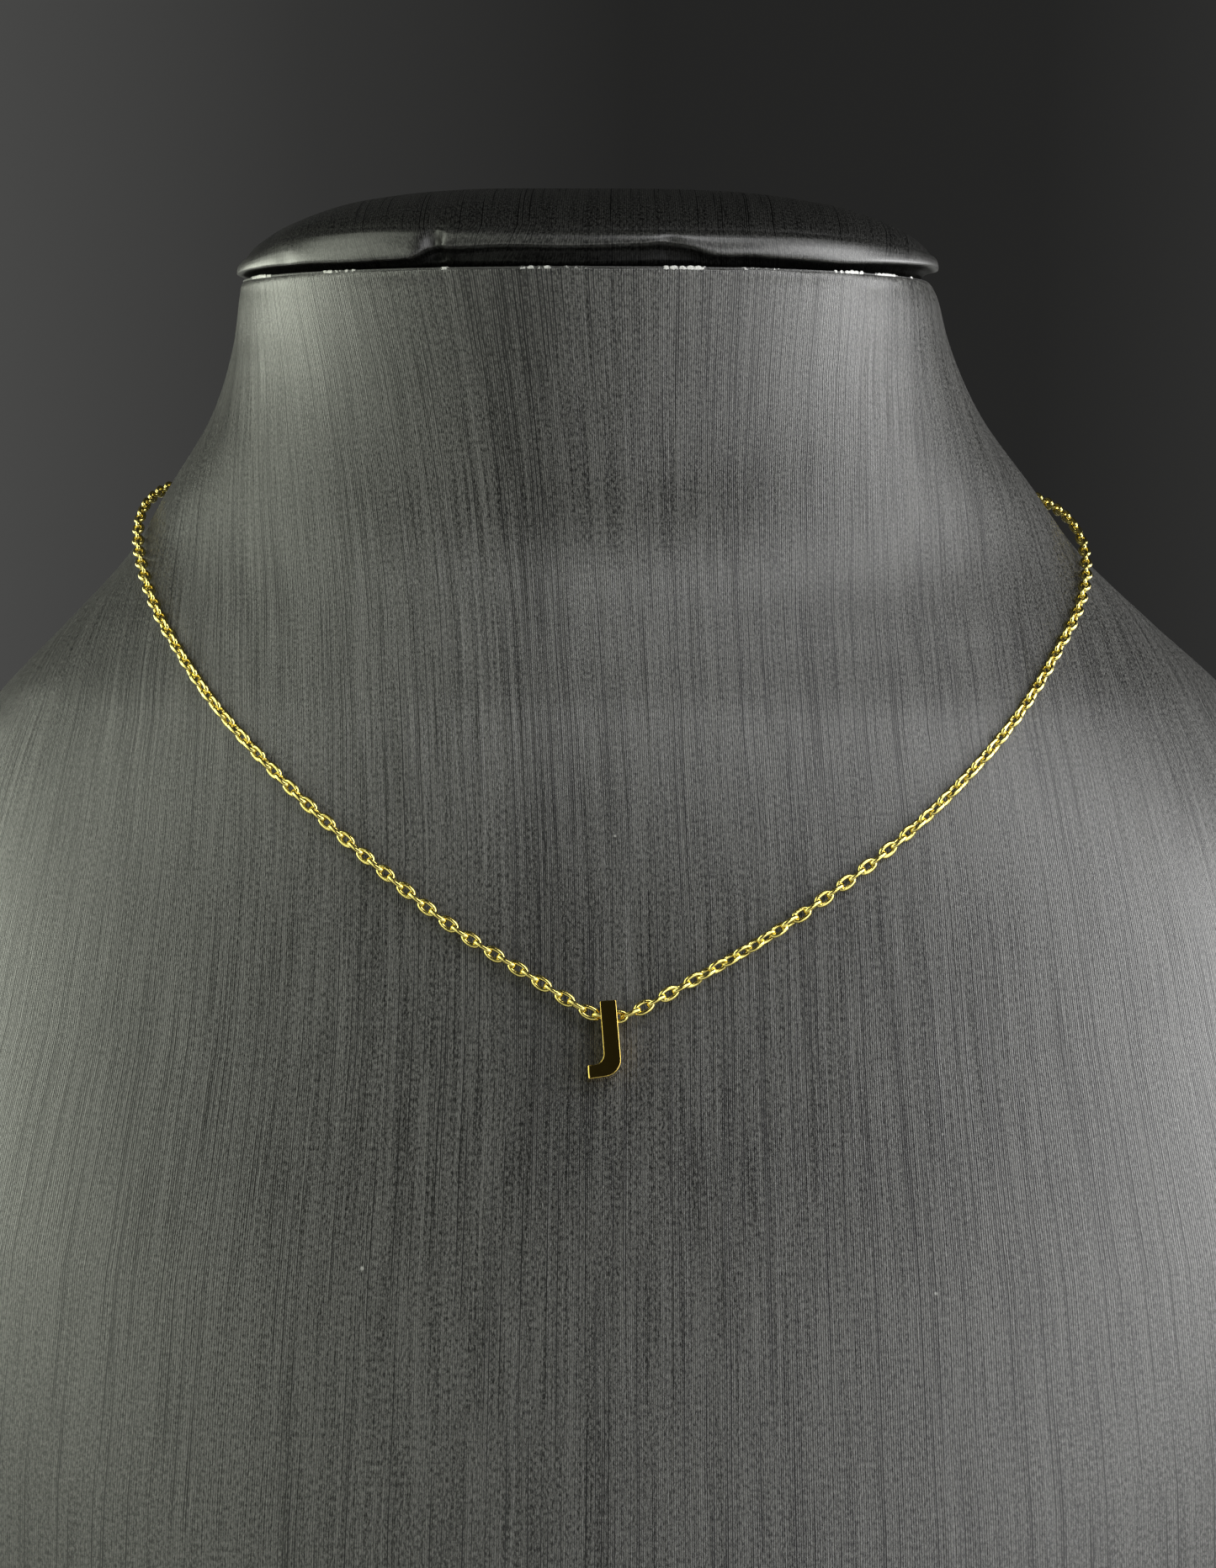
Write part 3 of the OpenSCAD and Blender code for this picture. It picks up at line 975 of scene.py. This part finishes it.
class PENDANT_OT_bust(bpy.types.Operator):
    """Wraps the neck bust in ribbed leatherette"""

    bl_idname = "pendant.bust"
    bl_label = "Neck bust"

    def execute(self, context):
        cloth = context.scene.pendant_bust
        near_seam = np.array([176.5, 177.8, 178.7, 179.3, 179.7])
        a = np.concatenate([[-180.0], -near_seam[::-1], np.linspace(-175, 175, 351), near_seam])
        edge = np.radians(np.linspace(0, 90, 7)[:-1])
        # Below the top edge, the cloth is drawn over a bead: rows of depth and how far it stands out
        bead = np.array([[1.4, 0.02], [0.9, 0.08], [0.6, 0.11], [0.35, 0.10], [0.15, 0.04], [0, -0.12]])
        wall = np.concatenate([np.linspace(BASE_EDGE_R, BUST_H - 2, WALL_ROWS), BUST_H - bead[:, 0]])
        z = np.concatenate([[0, 0, 0], BASE_EDGE_R * (1 - np.cos(edge)), wall])
        foot = -BASE_EDGE_R * np.concatenate([[1, 1, 1], 1 - np.sin(edge)])
        grow = np.concatenate([foot, np.zeros(WALL_ROWS), bead[:, 1]])[:, None]
        scaled = np.concatenate([[0, 0.5, 0.97], np.ones(len(edge) + len(wall))])[:, None]
        points = bust_point(a[None], z[:, None], grow + rolled(a[None], z[:, None]), scaled)
        out = bust_out(a[None], np.clip(z, 1, BUST_H - 1)[:, None] + 0 * a[None])
        free = (z < BUST_H - 1) * np.clip((z - DENTS_FROM) / DENTS_BLEND, 0, 1)
        seam = -SEAM_DEPTH * bump(turned(a, 180), 0, SEAM_WIDTH)
        dents = cloth.unevenness * waves(a[None], z[:, None] / DENTS_RISE, 5) * DENTS_SHARE + seam
        points = points + out * (free[:, None] * dents)[..., None]
        ragged = 0.18 * waves(a * 3, a * 0, 8, 8)
        points[-1, :, 2] = BUST_H + np.clip(ragged, -0.4, 0.1) - 0.25 * bump(a, *EDGE_DROP)
        middle = bust_point(0.0, BUST_H, scaled=0.0) + np.zeros((1, len(a), 1))
        inner = middle + (points[-1:] - middle) * LID_IN
        inner[..., 2] = middle[..., 2] = BUST_H - LID_DROP
        points = np.concatenate([points, inner, middle])
        shape, uv = wrapped(points, self.ribs(points, a, cloth.rib_pitch))
        finish = leatherette("ribbed_leatherette", cloth, folded=True)
        new_piece("bust_skin", shape, finish, ["neck_bust"], uv)
        return {"FINISHED"}

    @staticmethod
    def ribs(points, a, pitch):
        """The rib map: U adds up the way round from the front over the ribs' width there, and V the way up.

        Towards the back the ribs give way to an even share, so that one rib follows the seam at every height.
        """
        closed = np.concatenate([points, points[:, :1]], axis=1)
        step = np.linalg.norm(np.diff(closed, axis=1), axis=2)
        way = added_up(step, axis=1)
        front = points.shape[1] // 2
        way = way - way[:, front : front + 1]
        z = points[:, :1, 2]
        wide = np.interp(z, RIB_SPREAD[:, 0], RIB_SPREAD[:, 1])
        more = np.interp(z, RIB_SPREAD[:, 0], RIB_SPREAD[:, 2])
        local = wide * (1 + more * way**2 / (way**2 + RIB_REACH**2))
        du = step / ((local[:, 1:] + local[:, :-1]) / 2) / pitch
        ends = np.append(a, 180)
        t = np.clip((np.abs(ends[1:] + ends[:-1]) / 2 - BACK_START) / BACK_BLEND, 0, 1)
        even = t * t * (3 - 2 * t)
        for half in (slice(0, front), slice(front, None)):
            kept = du[:, half] * (1 - even[half])
            share = step[:, half] * even[half]
            ribs = kept.sum(axis=1, keepdims=True)
            rest = ribs.max() * SEAM_SPARE - ribs
            du[:, half] = kept + rest * share / np.maximum(share.sum(axis=1, keepdims=True), NUDGE)
        u = added_up(du, axis=1)
        return np.stack([u - u[:, front : front + 1], run_along(closed)], axis=-1)


class PENDANT_OT_cap(bpy.types.Operator):
    """Wraps the neck cap, with a rolled edge that ends in a lip over a shadowed groove"""

    bl_idname = "pendant.cap"
    bl_label = "Neck cap"

    def execute(self, context):
        cloth = context.scene.pendant_cap
        a = np.linspace(-180, 180, 541)[:-1][None]
        row = np.linspace(0, len(CAP_SIDE) - 1, CAP_ROWS)
        side = np.stack([np.interp(row, np.arange(len(CAP_SIDE)), column) for column in CAP_SIDE.T])
        for _ in range(2):
            side[:, 1:-1] = (side[:, :-2] + 2 * side[:, 1:-1] + side[:, 2:]) / 4
        stage, inset = side[..., None]
        lip = smooth(CAP_EDGE, 1, a) + 0.06 * waves(a * 3, 0 * a, 41, 9)
        rim = smooth(CAP_EDGE, 2, a) + 0.05 * waves(a, 0 * a, 42, 7)
        rise = np.where(
            stage < 1,
            stage * lip,
            np.where(stage < 2, lip + (stage - 1) * (rim - lip), rim + (stage - 2) * (CAP_RISE - rim)),
        )
        groove = np.clip(1 - stage, 0, 1)
        band = bump(stage, 1.15, 0.75)
        deep = bumps(a, GROOVE_IN) + 0.2 * waves(a * 2, 0 * a, 43, 9)
        pull = bumps(a, GATHERS) + bumps(turned(a, 180), BACK_GATHERS)
        swirl = 0.45 * bump(a, -19.6, 0.9) * bump(stage, 0.9, 0.5)
        lumps = 0.06 * waves(a, stage, 21, 9) * bump(stage, 1.6, 0.6)
        inset = inset + deep * groove * (stage > 0.02) + cloth.pucker * pull * band - swirl - lumps
        edge = bust_point(a, BUST_H + 0 * rise, CAP_OVERHANG)
        middle = bust_point(0.0, BUST_H, scaled=0.0)
        reach = np.linalg.norm((edge - middle)[..., :2], axis=-1)
        points = middle + (edge - middle) * np.clip(1 - inset / reach, 0.0, 1.03)[..., None]
        sag = 0.07 * waves(a, stage, 33) * np.clip(stage - 2, 0, 1) * (3 - stage)
        points[..., 2] = BUST_H + SEAM_GAP + rise + sag
        poles = middle + np.zeros((2, a.size, 3))
        poles[..., 2] = BUST_H + SEAM_GAP + np.array([[0.05], [CAP_RISE + 0.03]])
        points = np.concatenate([poles[:1], points, poles[1:]])
        closed = np.concatenate([points, points[:, :1]], axis=1)
        u = self.ribs(closed, middle) / cloth.rib_pitch
        shape, uv = wrapped(points, np.stack([u, run_along(closed)], axis=-1))
        zone = np.concatenate([[0], np.repeat(stage[:, 0], a.size), [3]])
        finish = leatherette("cap_leatherette", cloth, zoned=True)
        new_piece("cap_skin", shape, finish, ["neck_cap"], uv, zone)
        return {"FINISHED"}

    @staticmethod
    def ribs(points, middle):
        """The ribs' place across the cap: they run front to back, and gathers draw them in below the rim."""
        x = points[..., 0] - middle[0]
        below = np.clip(5.0 - (points[..., 2] - BUST_H), 0, 5) * (points[..., 1] < middle[1])
        gathered = x + (x + 16) * 0.11 * below * bump(x, -16, 9)
        return gathered + (x - 30) * 0.03 * below * bump(x, 30, 12)


class PENDANT_OT_seam(bpy.types.Operator):
    """Lays the cut and glued edge of the neck's cloth under the cap"""

    bl_idname = "pendant.seam"
    bl_label = "Glued edge"

    def execute(self, context):
        cap = context.scene.pendant_cap
        a = np.linspace(-180, 180, 3001)[:-1]
        rough = 0.5 + 0.35 * waves(a * 11, a * 0, 3, 12) + 0.3 * waves(a * 37, a * 0, 4, 10)
        torn, reach = 0 * a, 0 * a
        for start, end, thick, down in FLAKES:
            inside = np.clip(np.minimum(a - start, end - a) / FLAKE_END, 0, 1) * np.clip(rough + 0.25, 0, 1.2)
            torn = torn + thick * inside
            reach = reach + down * inside
        comb = np.clip(0.5 + 0.5 * waves(a * 83, a * 0, 6, 8), 0, 1.2)
        q = round_angles(10)[:, None]
        low = -EDGE_HALF - cap.fray * reach * comb
        high = EDGE_HALF + 0.16 * torn
        z = (high + low) / 2 + (high - low) / 2 * np.sin(q)
        thin = np.clip((z - low) / (high - low), 0.25, 1)
        out = (0.05 + 0.07 * np.clip(torn, 0, 1)) * thin * np.cos(q)
        height = BUST_H + np.minimum(z, 0)
        points = bust_point(a[None], height, out + rolled(a[None], height))
        points[..., 2] = BUST_H + z - 0.2 * bump(a, *EDGE_DROP)
        rows, columns = z.shape
        corners = quads(rows, columns, rows)[:, [0, 3, 2, 1]].ravel()
        mask = np.stack([torn[None] + 0 * z, z], axis=-1).reshape(-1, 2)
        shape = points.reshape(-1, 3), corners, np.full(rows * columns, 4)
        new_piece("glued_edge", shape, torn_edge("glued_edge", cap.glue), uv=mask[corners])
        return {"FINISHED"}


class PENDANT_OT_chain(bpy.types.Operator):
    """Links up the cable chain, through the letter and round to the clasp"""

    bl_idname = "pendant.chain"
    bl_label = "Cable chain"

    def execute(self, context):
        s = context.scene.pendant_chain
        c = context.scene.pendant_clasp
        path = chain_path()
        inner = s.link_l / 2 - s.wire
        ring_hold = c.ring / 2 - c.ring_wire
        hook = c.length / 2 - HOOK_IN + ring_hold
        eye = c.length / 2 - EYE_IN + ring_hold
        spare = ring_hold + inner - c.length / 2 - REST_GAP
        first = path[2][0] + eye + spare
        last = path[2][-1] - hook - spare
        left, right = (2 * round(way / s.pitch / 2) for way in (MIDDLE_LINK - first, last - MIDDLE_LINK))
        count = np.arange(-left, right + 1)
        spot = np.interp(count, [-left, 0, right], [first, MIDDLE_LINK, last])
        before, _ = along(path, spot - s.pitch / 2)
        after, _ = along(path, spot + s.pitch / 2)
        _, out = along(path, spot)
        turn = np.interp(spot, TURNS[:, 0], TURNS[:, 1]) + 90 * (count % 2)
        turn = np.radians(turn + 2.5 * np.sin(count * 2.3))
        link = self.link(s.link_l, s.link_w, s.wire, LINK_POWER, 16, 6)
        links = self.placed_links(link, (before + after) / 2, after - before, out, turn)
        ring = self.link(c.ring, c.ring, c.ring_wire, 2.0, 20, 8)
        middle, _ = self.clasp_line(path)
        across = unit(path[0][-1] - path[0][0])
        ends = np.stack([middle + across * hook, middle - across * eye])
        upright = np.full(2, math.pi / 2)
        rings = self.placed_links(ring, ends, np.stack([across, across]), path[1][[0, -1]], upright)
        points = np.concatenate([links[0], rings[0]])
        corners = np.concatenate([links[1], rings[1] + len(links[0])])
        shape = points, corners.ravel(), np.full(len(corners), 4)
        new_piece("chain_links", shape, polished_gold("chain_gold", s), ["cable_chain"])
        return {"FINISHED"}

    @staticmethod
    def clasp_line(path):
        """The middle between the chain's two ends, and the direction out of the nape there."""
        return (path[0][0] + path[0][-1]) / 2, bust_out(180.0, BUST_H - BACK_DROP)

    @staticmethod
    def link(length, width, wire, power, steps, sides):
        """One link lying flat: round wire carried along a squared ellipse."""
        p = round_angles(steps)[:, None]
        q = round_angles(sides)[None]
        half_l, half_w = (length - wire) / 2, (width - wire) / 2
        power = 2 / power
        line = np.stack([half_l * bent(np.cos(p), power), half_w * bent(np.sin(p), power), 0 * p], axis=-1)
        ahead = np.roll(line, -1, axis=0) - np.roll(line, 1, axis=0)
        up = np.array([0, 0, 1.0])
        side = unit(np.cross(ahead, up))
        points = line + wire / 2 * (side * np.cos(q)[..., None] + np.sin(q)[..., None] * up)
        return points.reshape(-1, 3), quads(steps, sides, steps)

    @staticmethod
    def placed_links(link, middles, ahead, out, turn):
        """Copies of a link, each along its own direction and turned about it from flat on the bust."""
        x = unit(ahead)
        side = unit(np.cross(out, x))
        flat = np.cross(x, side)
        y = side * np.cos(turn)[:, None] + flat * np.sin(turn)[:, None]
        axes = np.stack([x, y, np.cross(x, y)], axis=1)
        points = middles[:, None] + np.einsum("pk,nkc->npc", link[0], axes)
        corners = link[1][None] + (np.arange(len(middles)) * len(link[0]))[:, None, None]
        return points.reshape(-1, 3), corners.reshape(-1, 4)


def rounded(corners, steps=7):
    """A closed outline from corners with radii: each corner gives way to an arc that touches its two sides.

    Gives points and the outward direction at each, for an outline that runs counterclockwise.
    """
    line, normals = [], []
    count = len(corners)
    for k, (x, z, r) in enumerate(corners):
        here = np.array([x, z])
        back = unit(np.array(corners[k - 1][:2]) - here)
        ahead = unit(np.array(corners[(k + 1) % count][:2]) - here)
        half = math.acos(np.clip(back @ ahead, -1, 1)) / 2
        centre = here + unit(back + ahead) * r / math.sin(half)
        convex = back[0] * ahead[1] - back[1] * ahead[0] < 0
        first = here + back * r / math.tan(half) - centre
        last = here + ahead * r / math.tan(half) - centre
        start = math.atan2(first[1], first[0])
        sweep = (math.atan2(last[1], last[0]) - start + math.pi) % math.tau - math.pi
        angles = start + sweep * np.linspace(0, 1, steps)
        spokes = np.stack([np.cos(angles), np.sin(angles)], axis=-1)
        line.append(centre + r * spokes)
        normals.append(spokes if convex else -spokes)
    return np.concatenate(line), np.concatenate(normals)


def slab(outline, normals, depth, edge, steps=5):
    """A solid letter: its outline, drawn in at the flat front and back by a quarter round.

    The radius of the quarter round is given for each point of the outline.
    """
    t = np.radians(np.linspace(0, 90, steps))[:, None]
    none = 0 * edge[None]
    inset = np.concatenate([edge * (1 - np.sin(t)), none, none, edge * (1 - np.cos(t))])
    front_y, back_y = edge * (1 - np.cos(t)), depth - edge * (1 - np.sin(t))
    y = np.concatenate([front_y, none + depth / 3, none + depth * 2 / 3, back_y]) - depth / 2
    flat = outline[None] - normals[None] * inset[..., None]
    points = np.stack([flat[..., 0], y, flat[..., 1]], axis=-1)
    rows, n = points.shape[:2]
    sides = quads(rows, n, rows - 1)
    front = np.arange(n)
    back = (rows - 1) * n + front[::-1]
    corners = np.concatenate([front, sides.ravel(), back])
    return points.reshape(-1, 3), corners, np.concatenate([[n], np.full(len(sides), 4), [n]])


def lathe(profile, around=40):
    """A closed body turned about the X axis, from rows of place along it and radius."""
    q = round_angles(around)
    x = np.broadcast_to(profile[:, :1], (len(profile), around))
    r = profile[:, 1:]
    points = np.stack([x, r * np.cos(q), r * np.sin(q)], axis=-1)
    ends = np.zeros((1, around, 3))
    points = np.concatenate([ends + [profile[0, 0], 0, 0], points, ends + [profile[-1, 0], 0, 0]])
    return wrapped(points)[0]


def bore(radius, half, flare, reach):
    """A cutter for a hole along X whose mouths open out by a quarter round."""
    t = np.radians(np.linspace(0, 80, 5))
    x = half - flare + flare * np.sin(t)
    r = radius + flare * (1 - np.cos(t))
    side = np.column_stack([np.concatenate([x, [reach]]), np.concatenate([r, [r[-1] + flare * 0.4]])])
    return lathe(np.concatenate([side[::-1] * [-1, 1], side]))


class PENDANT_OT_letter(bpy.types.Operator):
    """Makes the solid polished letter, with the hole that the chain runs through"""

    bl_idname = "pendant.letter"
    bl_label = "Letter"

    def execute(self, context):
        s = context.scene.pendant_letter
        top = BORE_DROP
        foot = top - s.height
        right = s.stem / 2
        left = right - s.width
        # Corners and their radii, from the stem's top left down to the hook, round it and up the right side
        outline, normals = rounded([
            (-right, top, CORNER_R),
            (-right, foot + 1.45, 1.15),
            (left, foot + 1.5, CORNER_R),
            (left - 0.02, foot, CORNER_R),
            (left + 2.2, foot + 0.16, 1.2),
            (right + 0.03, foot + 0.2, 1.75),
            (right, top, CORNER_R),
        ])
        tip = outline[:, 0] < left + HOOK_END
        edge = s.edge + s.end_edge * np.clip(-normals[:, 0], 0, 1) * tip
        shapes = slab(outline, normals, s.depth, edge), bore(BORE_R, right, 0.12, right + 1)
        spot, _ = along(chain_path(), np.zeros(1))
        angle, drop, _ = ROUTE[LETTER_ROW - 1]
        face = bust_out(angle, BUST_H - drop)
        swing = math.atan2(face[0], -face[1])
        hung = turn_about(0, -math.asin(face[2])) @ turn_about(1, math.radians(-s.tilt))
        turn = turn_about(2, swing) @ hung
        finish = polished_gold("letter_gold", s)
        carved("letter_j", shapes, turn, spot, finish, ["initial_letter"])
        return {"FINISHED"}


class PENDANT_OT_clasp(bpy.types.Operator):
    """Makes the plain closed clasp at the nape"""

    bl_idname = "pendant.clasp"
    bl_label = "Clasp"

    def execute(self, context):
        end = context.scene.pendant_clasp.length / 2
        sides = CLASP_SIDE * [2 * end / CLASP_SIDE[-1, 0], 1, 1] - [end, 0, 0]
        x = end * -np.cos(np.linspace(0, math.pi, 60))[:, None]
        q = round_angles(48)[None]
        wide, thick = (np.clip(smooth(sides, column, x), 0.0, None) for column in (1, 2))
        points = np.stack([x + 0 * q, thick * bent(np.cos(q), 0.8), wide * bent(np.sin(q), 0.8)], axis=-1)
        shapes = [wrapped(points)[0]]
        for (radius, inwards, half), towards in ((CLASP_EYE, -1), (CLASP_HOLE, 1)):
            spots, corners, sizes = bore(radius, half, 0.14, 2.0)
            place = [towards * (end - inwards), 0, 0]
            shapes.append((spots[:, [1, 0, 2]] * [1, -1, 1] + place, corners, sizes))
        middle, face = PENDANT_OT_chain.clasp_line(chain_path())
        turn = turn_about(0, math.asin(face[2]))
        finish = polished_gold("clasp_gold", context.scene.pendant_chain)
        carved("clasp_body", shapes, turn, middle, finish, ["clasp"])
        return {"FINISHED"}


class PENDANT_OT_stage(bpy.types.Operator):
    """Sets out the camera, the floor, the plain surroundings and the soft lights"""

    bl_idname = "pendant.stage"
    bl_label = "Stage"

    def execute(self, context):
        s = context.scene.pendant_stage
        camera = bpy.data.cameras.new("camera")
        camera.lens = CAMERA_LENS
        camera.sensor_width = CAMERA_SENSOR
        camera.clip_start = 0.01
        camera.clip_end = 20
        seat = new_object("camera", camera)
        seat.location = CAMERA_SEAT
        turn, pitch = math.radians(CAMERA_TURN), math.radians(CAMERA_PITCH)
        level = math.cos(pitch)
        ahead = Vector((math.sin(turn) * level, math.cos(turn) * level, -math.sin(pitch)))
        seat.rotation_euler = ahead.to_track_quat("-Z", "Y").to_euler()
        context.scene.camera = seat
        context.scene.view_settings.view_transform = "Standard"
        for name, group, azimuth, height, distance, size, share in LIGHTS:
            tint = s.tint[:3] if azimuth > 0 else (1.0, 1.0, 1.0)
            self.light(name, azimuth, height, distance, size, getattr(s, group) * share, tint)
        context.scene.world = self.surroundings(s.backdrop)
        a = round_angles(FLOOR_SIDES)
        rim = FLOOR_R * MM * np.stack([np.cos(a), np.sin(a), 0 * a], axis=-1)
        mesh = bpy.data.meshes.new("floor")
        mesh.from_pydata(rim.tolist(), [], [list(range(FLOOR_SIDES))])
        mesh.materials.append(floor_paint("floor_paint", s.floor))
        new_object("floor", mesh)
        return {"FINISHED"}

    @staticmethod
    def light(name, azimuth, height, distance, size, power, tint):
        """An area light at an angle from the front, towards the left, aimed at the middle of the bust."""
        data = bpy.data.lights.new(name, "AREA")
        data.shape = "RECTANGLE"
        data.size, data.size_y = size
        data.energy = power
        data.color = tint
        lamp = new_object(name, data)
        turn = math.radians(azimuth)
        lamp.location = (-distance * math.sin(turn), -distance * math.cos(turn), height)
        lamp.rotation_euler = (LIGHT_AIM - lamp.location).to_track_quat("-Z", "Y").to_euler()
        lamp.visible_camera = False

    @staticmethod
    def surroundings(tone):
        """Plain dark surroundings that are a little lighter towards the left."""
        world = bpy.data.worlds.new("surroundings")
        world.use_nodes = True
        tree = Tree(world.node_tree)
        across = tree.node("ShaderNodeSeparateXYZ", values={0: tree.node("ShaderNodeTexCoord")})
        reach = {"Value": across, "From Min": -SKY_REACH, "From Max": SKY_REACH}
        stops = [(place, (*(c * share for c in tone[:3]), 1.0)) for place, share in SKY_STOPS]
        spread = tree.node("ShaderNodeMapRange", values=reach)
        ramp = tree.node("ShaderNodeValToRGB", {"stops": stops}, {0: spread})
        tree.feed(world.node_tree.nodes["Background"].inputs[0], ramp)
        return world


GROUPS = {
    "pendant_bust": PendantBust,
    "pendant_cap": PendantCap,
    "pendant_chain": PendantChain,
    "pendant_letter": PendantLetter,
    "pendant_clasp": PendantClasp,
    "pendant_stage": PendantStage,
}
OPERATORS = (
    PENDANT_OT_stage,
    PENDANT_OT_bust,
    PENDANT_OT_cap,
    PENDANT_OT_seam,
    PENDANT_OT_chain,
    PENDANT_OT_letter,
    PENDANT_OT_clasp,
)


class PENDANT_PT_panel(bpy.types.Panel):
    """Lists the pieces of the necklace and its bust, with their sizes and colours"""

    bl_idname = "PENDANT_PT_panel"
    bl_label = "Pendant"
    bl_space_type = "VIEW_3D"
    bl_region_type = "UI"
    bl_category = "Pendant"

    def draw(self, context):
        for operator in OPERATORS:
            self.layout.operator(operator.bl_idname)
        for name, group in GROUPS.items():
            box = self.layout.box()
            for prop in group.__annotations__:
                box.prop(getattr(context.scene, name), prop)


def register():
    for group in GROUPS.values():
        bpy.utils.register_class(group)
    for name, group in GROUPS.items():
        setattr(bpy.types.Scene, name, bpy.props.PointerProperty(type=group))
    for operator in OPERATORS:
        bpy.utils.register_class(operator)
    bpy.utils.register_class(PENDANT_PT_panel)


def unregister():
    bpy.utils.unregister_class(PENDANT_PT_panel)
    for operator in reversed(OPERATORS):
        bpy.utils.unregister_class(operator)
    for name in GROUPS:
        delattr(bpy.types.Scene, name)
    for group in reversed(GROUPS.values()):
        bpy.utils.unregister_class(group)


def main():
    """Registers the add-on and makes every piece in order."""
    register()
    bpy.ops.pendant.stage()
    bpy.ops.pendant.bust()
    bpy.ops.pendant.cap()
    bpy.ops.pendant.seam()
    bpy.ops.pendant.chain()
    bpy.ops.pendant.letter()
    bpy.ops.pendant.clasp()


if __name__ == "__main__":
    main()
